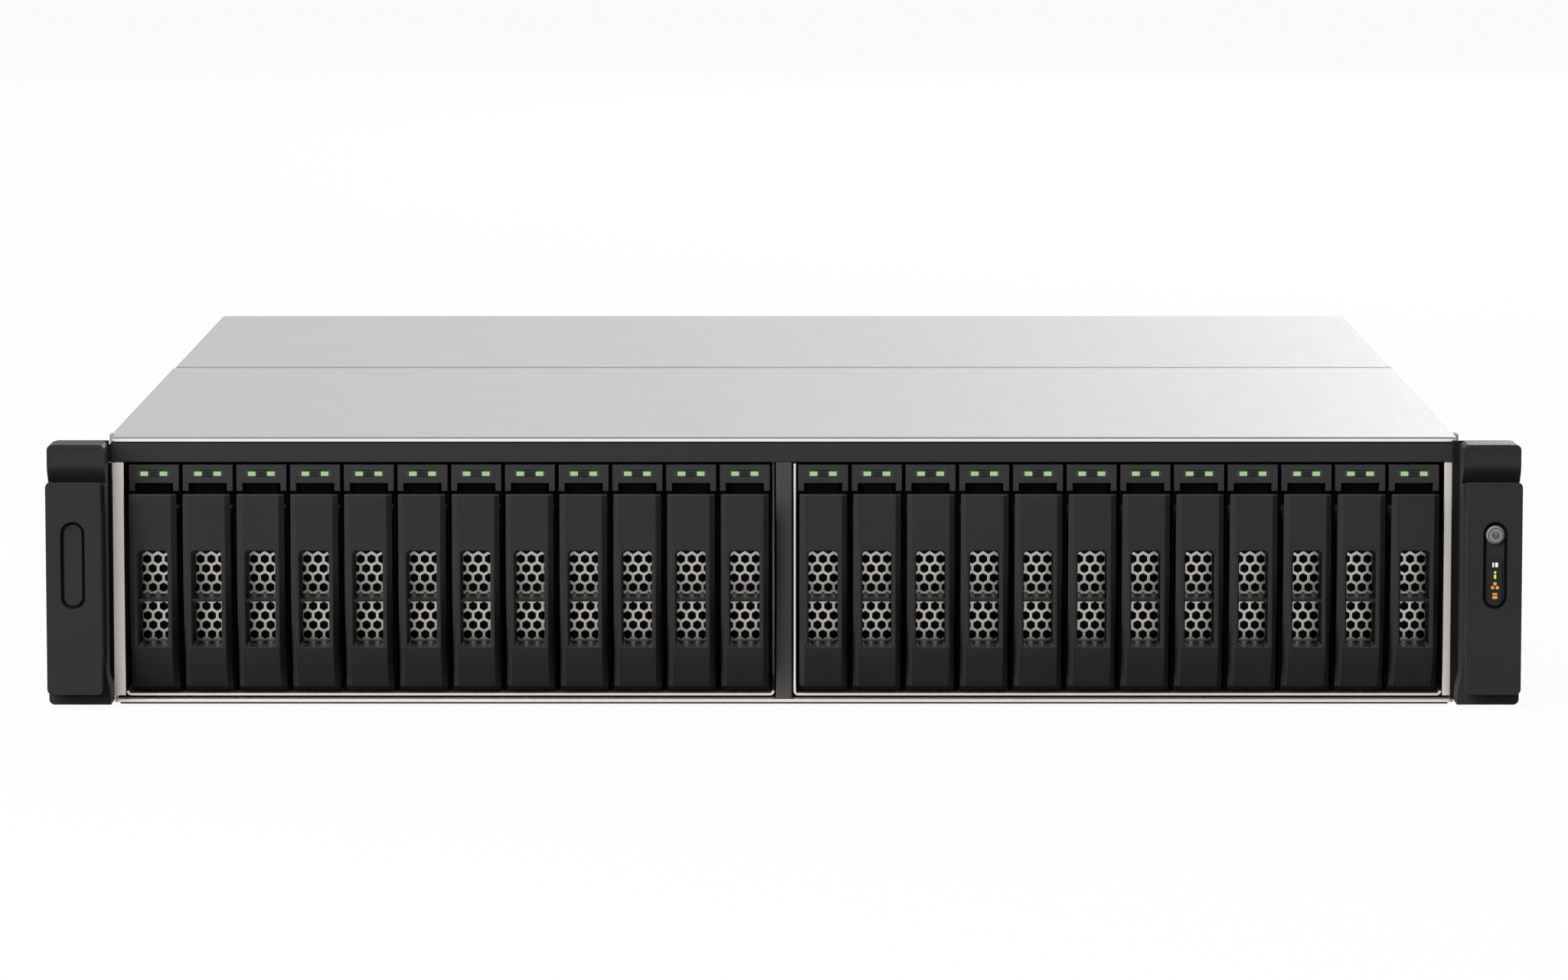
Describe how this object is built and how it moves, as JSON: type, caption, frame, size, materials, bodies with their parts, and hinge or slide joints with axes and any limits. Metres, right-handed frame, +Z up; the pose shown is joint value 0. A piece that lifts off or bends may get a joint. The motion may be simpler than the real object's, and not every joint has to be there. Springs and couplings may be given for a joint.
{
  "type": "rackmount storage server",
  "caption": "Rackmount storage server with upright hot-swap drive trays behind swing levers, rack ears, a sliding rear cover and paired plug-in power supplies.",
  "frame": {"origin": "middle of the width and of the overall depth, at the underside of the floor", "axes": "+X right seen from the front, +Y to the rear, +Z up"},
  "size_m": [0.4826, 0.515, 0.088],
  "materials": {
    "chassis_steel": "galvanised sheet",
    "cage_steel": "galvanised sheet",
    "cover_steel": "plain sheet",
    "ear_plastic": "fine texture",
    "button_plastic": "translucent",
    "board": "solder mask",
    "fan_plastic": "moulded",
    "supply_metal": "plain sheet",
    "tray_metal": "satin",
    "lever_plastic": "fine texture"
  },
  "bodies": {
    "chassis": {"chassis_base": "chassis_steel", "drive_cage": "cage_steel", "front_top_cover": "cover_steel", "rack_ears": "ear_plastic", "circuit_boards": "board", "fan_frames": "fan_plastic"},
    "rear_cover": {"rear_top_cover": "cover_steel"},
    "ac_supply_lower": {"psu_module_lower": "supply_metal"},
    "ac_supply_upper": {"psu_module_upper": "supply_metal"},
    "power_button": {"power_button": "button_plastic"},
    "cooling_fan_left": {"fan_rotor_left": "fan_plastic"},
    "cooling_fan_right": {"fan_rotor_right": "fan_plastic"},
    "drive_01": {"drive_tray_01": "tray_metal"},
    "lever_01": {"tray_lever_01": "lever_plastic"},
    "drive_02": {"drive_tray_02": "tray_metal"},
    "lever_02": {"tray_lever_02": "lever_plastic"},
    "drive_03": {"drive_tray_03": "tray_metal"},
    "lever_03": {"tray_lever_03": "lever_plastic"},
    "drive_04": {"drive_tray_04": "tray_metal"},
    "lever_04": {"tray_lever_04": "lever_plastic"},
    "drive_05": {"drive_tray_05": "tray_metal"},
    "lever_05": {"tray_lever_05": "lever_plastic"},
    "drive_06": {"drive_tray_06": "tray_metal"},
    "lever_06": {"tray_lever_06": "lever_plastic"},
    "drive_07": {"drive_tray_07": "tray_metal"},
    "lever_07": {"tray_lever_07": "lever_plastic"},
    "drive_08": {"drive_tray_08": "tray_metal"},
    "lever_08": {"tray_lever_08": "lever_plastic"},
    "drive_09": {"drive_tray_09": "tray_metal"},
    "lever_09": {"tray_lever_09": "lever_plastic"},
    "drive_10": {"drive_tray_10": "tray_metal"},
    "lever_10": {"tray_lever_10": "lever_plastic"},
    "drive_11": {"drive_tray_11": "tray_metal"},
    "lever_11": {"tray_lever_11": "lever_plastic"},
    "drive_12": {"drive_tray_12": "tray_metal"},
    "lever_12": {"tray_lever_12": "lever_plastic"},
    "drive_13": {"drive_tray_13": "tray_metal"},
    "lever_13": {"tray_lever_13": "lever_plastic"},
    "drive_14": {"drive_tray_14": "tray_metal"},
    "lever_14": {"tray_lever_14": "lever_plastic"},
    "drive_15": {"drive_tray_15": "tray_metal"},
    "lever_15": {"tray_lever_15": "lever_plastic"},
    "drive_16": {"drive_tray_16": "tray_metal"},
    "lever_16": {"tray_lever_16": "lever_plastic"},
    "drive_17": {"drive_tray_17": "tray_metal"},
    "lever_17": {"tray_lever_17": "lever_plastic"},
    "drive_18": {"drive_tray_18": "tray_metal"},
    "lever_18": {"tray_lever_18": "lever_plastic"},
    "drive_19": {"drive_tray_19": "tray_metal"},
    "lever_19": {"tray_lever_19": "lever_plastic"},
    "drive_20": {"drive_tray_20": "tray_metal"},
    "lever_20": {"tray_lever_20": "lever_plastic"},
    "drive_21": {"drive_tray_21": "tray_metal"},
    "lever_21": {"tray_lever_21": "lever_plastic"},
    "drive_22": {"drive_tray_22": "tray_metal"},
    "lever_22": {"tray_lever_22": "lever_plastic"},
    "drive_23": {"drive_tray_23": "tray_metal"},
    "lever_23": {"tray_lever_23": "lever_plastic"},
    "drive_24": {"drive_tray_24": "tray_metal"},
    "lever_24": {"tray_lever_24": "lever_plastic"}
  },
  "joints": [
    {"name": "cover_slide", "type": "slide", "parent": "chassis", "child": "rear_cover", "axis": [0, 1, 0], "range_m": [0, 0.19]},
    {"name": "ac_supply_lower_slide", "type": "slide", "parent": "chassis", "child": "ac_supply_lower", "axis": [0, 1, 0], "range_m": [0, 0.17]},
    {"name": "ac_supply_upper_slide", "type": "slide", "parent": "chassis", "child": "ac_supply_upper", "axis": [0, 1, 0], "range_m": [0, 0.17]},
    {"name": "button_press", "type": "slide", "parent": "chassis", "child": "power_button", "axis": [0, 1, 0], "range_m": [0, 0.001], "stiffness_N_per_m": 400},
    {"name": "cooling_fan_left_spin", "type": "hinge", "parent": "chassis", "child": "cooling_fan_left", "pos_m": [-0.095, -0.072, 0.0415], "axis": [0, 1, 0], "continuous": true},
    {"name": "cooling_fan_right_spin", "type": "hinge", "parent": "chassis", "child": "cooling_fan_right", "pos_m": [0.095, -0.072, 0.0415], "axis": [0, 1, 0], "continuous": true},
    {"name": "drive_01_slide", "type": "slide", "parent": "chassis", "child": "drive_01", "axis": [0, -1, 0], "range_m": [0, 0.105]},
    {"name": "drive_01_lever", "type": "hinge", "parent": "drive_01", "child": "lever_01", "pos_m": [-0.20749, -0.2343, 0.0096], "axis": [1, 0, 0], "range_deg": [0, 50]},
    {"name": "drive_02_slide", "type": "slide", "parent": "chassis", "child": "drive_02", "axis": [0, -1, 0], "range_m": [0, 0.105]},
    {"name": "drive_02_lever", "type": "hinge", "parent": "drive_02", "child": "lever_02", "pos_m": [-0.1898, -0.2343, 0.0096], "axis": [1, 0, 0], "range_deg": [0, 50]},
    {"name": "drive_03_slide", "type": "slide", "parent": "chassis", "child": "drive_03", "axis": [0, -1, 0], "range_m": [0, 0.105]},
    {"name": "drive_03_lever", "type": "hinge", "parent": "drive_03", "child": "lever_03", "pos_m": [-0.17211, -0.2343, 0.0096], "axis": [1, 0, 0], "range_deg": [0, 50]},
    {"name": "drive_04_slide", "type": "slide", "parent": "chassis", "child": "drive_04", "axis": [0, -1, 0], "range_m": [0, 0.105]},
    {"name": "drive_04_lever", "type": "hinge", "parent": "drive_04", "child": "lever_04", "pos_m": [-0.15442, -0.2343, 0.0096], "axis": [1, 0, 0], "range_deg": [0, 50]},
    {"name": "drive_05_slide", "type": "slide", "parent": "chassis", "child": "drive_05", "axis": [0, -1, 0], "range_m": [0, 0.105]},
    {"name": "drive_05_lever", "type": "hinge", "parent": "drive_05", "child": "lever_05", "pos_m": [-0.13673, -0.2343, 0.0096], "axis": [1, 0, 0], "range_deg": [0, 50]},
    {"name": "drive_06_slide", "type": "slide", "parent": "chassis", "child": "drive_06", "axis": [0, -1, 0], "range_m": [0, 0.105]},
    {"name": "drive_06_lever", "type": "hinge", "parent": "drive_06", "child": "lever_06", "pos_m": [-0.11904, -0.2343, 0.0096], "axis": [1, 0, 0], "range_deg": [0, 50]},
    {"name": "drive_07_slide", "type": "slide", "parent": "chassis", "child": "drive_07", "axis": [0, -1, 0], "range_m": [0, 0.105]},
    {"name": "drive_07_lever", "type": "hinge", "parent": "drive_07", "child": "lever_07", "pos_m": [-0.10135, -0.2343, 0.0096], "axis": [1, 0, 0], "range_deg": [0, 50]},
    {"name": "drive_08_slide", "type": "slide", "parent": "chassis", "child": "drive_08", "axis": [0, -1, 0], "range_m": [0, 0.105]},
    {"name": "drive_08_lever", "type": "hinge", "parent": "drive_08", "child": "lever_08", "pos_m": [-0.08366, -0.2343, 0.0096], "axis": [1, 0, 0], "range_deg": [0, 50]},
    {"name": "drive_09_slide", "type": "slide", "parent": "chassis", "child": "drive_09", "axis": [0, -1, 0], "range_m": [0, 0.105]},
    {"name": "drive_09_lever", "type": "hinge", "parent": "drive_09", "child": "lever_09", "pos_m": [-0.06597, -0.2343, 0.0096], "axis": [1, 0, 0], "range_deg": [0, 50]},
    {"name": "drive_10_slide", "type": "slide", "parent": "chassis", "child": "drive_10", "axis": [0, -1, 0], "range_m": [0, 0.105]},
    {"name": "drive_10_lever", "type": "hinge", "parent": "drive_10", "child": "lever_10", "pos_m": [-0.04828, -0.2343, 0.0096], "axis": [1, 0, 0], "range_deg": [0, 50]},
    {"name": "drive_11_slide", "type": "slide", "parent": "chassis", "child": "drive_11", "axis": [0, -1, 0], "range_m": [0, 0.105]},
    {"name": "drive_11_lever", "type": "hinge", "parent": "drive_11", "child": "lever_11", "pos_m": [-0.03059, -0.2343, 0.0096], "axis": [1, 0, 0], "range_deg": [0, 50]},
    {"name": "drive_12_slide", "type": "slide", "parent": "chassis", "child": "drive_12", "axis": [0, -1, 0], "range_m": [0, 0.105]},
    {"name": "drive_12_lever", "type": "hinge", "parent": "drive_12", "child": "lever_12", "pos_m": [-0.0129, -0.2343, 0.0096], "axis": [1, 0, 0], "range_deg": [0, 50]},
    {"name": "drive_13_slide", "type": "slide", "parent": "chassis", "child": "drive_13", "axis": [0, -1, 0], "range_m": [0, 0.105]},
    {"name": "drive_13_lever", "type": "hinge", "parent": "drive_13", "child": "lever_13", "pos_m": [0.0129, -0.2343, 0.0096], "axis": [1, 0, 0], "range_deg": [0, 50]},
    {"name": "drive_14_slide", "type": "slide", "parent": "chassis", "child": "drive_14", "axis": [0, -1, 0], "range_m": [0, 0.105]},
    {"name": "drive_14_lever", "type": "hinge", "parent": "drive_14", "child": "lever_14", "pos_m": [0.03059, -0.2343, 0.0096], "axis": [1, 0, 0], "range_deg": [0, 50]},
    {"name": "drive_15_slide", "type": "slide", "parent": "chassis", "child": "drive_15", "axis": [0, -1, 0], "range_m": [0, 0.105]},
    {"name": "drive_15_lever", "type": "hinge", "parent": "drive_15", "child": "lever_15", "pos_m": [0.04828, -0.2343, 0.0096], "axis": [1, 0, 0], "range_deg": [0, 50]},
    {"name": "drive_16_slide", "type": "slide", "parent": "chassis", "child": "drive_16", "axis": [0, -1, 0], "range_m": [0, 0.105]},
    {"name": "drive_16_lever", "type": "hinge", "parent": "drive_16", "child": "lever_16", "pos_m": [0.06597, -0.2343, 0.0096], "axis": [1, 0, 0], "range_deg": [0, 50]},
    {"name": "drive_17_slide", "type": "slide", "parent": "chassis", "child": "drive_17", "axis": [0, -1, 0], "range_m": [0, 0.105]},
    {"name": "drive_17_lever", "type": "hinge", "parent": "drive_17", "child": "lever_17", "pos_m": [0.08366, -0.2343, 0.0096], "axis": [1, 0, 0], "range_deg": [0, 50]},
    {"name": "drive_18_slide", "type": "slide", "parent": "chassis", "child": "drive_18", "axis": [0, -1, 0], "range_m": [0, 0.105]},
    {"name": "drive_18_lever", "type": "hinge", "parent": "drive_18", "child": "lever_18", "pos_m": [0.10135, -0.2343, 0.0096], "axis": [1, 0, 0], "range_deg": [0, 50]},
    {"name": "drive_19_slide", "type": "slide", "parent": "chassis", "child": "drive_19", "axis": [0, -1, 0], "range_m": [0, 0.105]},
    {"name": "drive_19_lever", "type": "hinge", "parent": "drive_19", "child": "lever_19", "pos_m": [0.11904, -0.2343, 0.0096], "axis": [1, 0, 0], "range_deg": [0, 50]},
    {"name": "drive_20_slide", "type": "slide", "parent": "chassis", "child": "drive_20", "axis": [0, -1, 0], "range_m": [0, 0.105]},
    {"name": "drive_20_lever", "type": "hinge", "parent": "drive_20", "child": "lever_20", "pos_m": [0.13673, -0.2343, 0.0096], "axis": [1, 0, 0], "range_deg": [0, 50]},
    {"name": "drive_21_slide", "type": "slide", "parent": "chassis", "child": "drive_21", "axis": [0, -1, 0], "range_m": [0, 0.105]},
    {"name": "drive_21_lever", "type": "hinge", "parent": "drive_21", "child": "lever_21", "pos_m": [0.15442, -0.2343, 0.0096], "axis": [1, 0, 0], "range_deg": [0, 50]},
    {"name": "drive_22_slide", "type": "slide", "parent": "chassis", "child": "drive_22", "axis": [0, -1, 0], "range_m": [0, 0.105]},
    {"name": "drive_22_lever", "type": "hinge", "parent": "drive_22", "child": "lever_22", "pos_m": [0.17211, -0.2343, 0.0096], "axis": [1, 0, 0], "range_deg": [0, 50]},
    {"name": "drive_23_slide", "type": "slide", "parent": "chassis", "child": "drive_23", "axis": [0, -1, 0], "range_m": [0, 0.105]},
    {"name": "drive_23_lever", "type": "hinge", "parent": "drive_23", "child": "lever_23", "pos_m": [0.1898, -0.2343, 0.0096], "axis": [1, 0, 0], "range_deg": [0, 50]},
    {"name": "drive_24_slide", "type": "slide", "parent": "chassis", "child": "drive_24", "axis": [0, -1, 0], "range_m": [0, 0.105]},
    {"name": "drive_24_lever", "type": "hinge", "parent": "drive_24", "child": "lever_24", "pos_m": [0.20749, -0.2343, 0.0096], "axis": [1, 0, 0], "range_deg": [0, 50]}
  ]
}
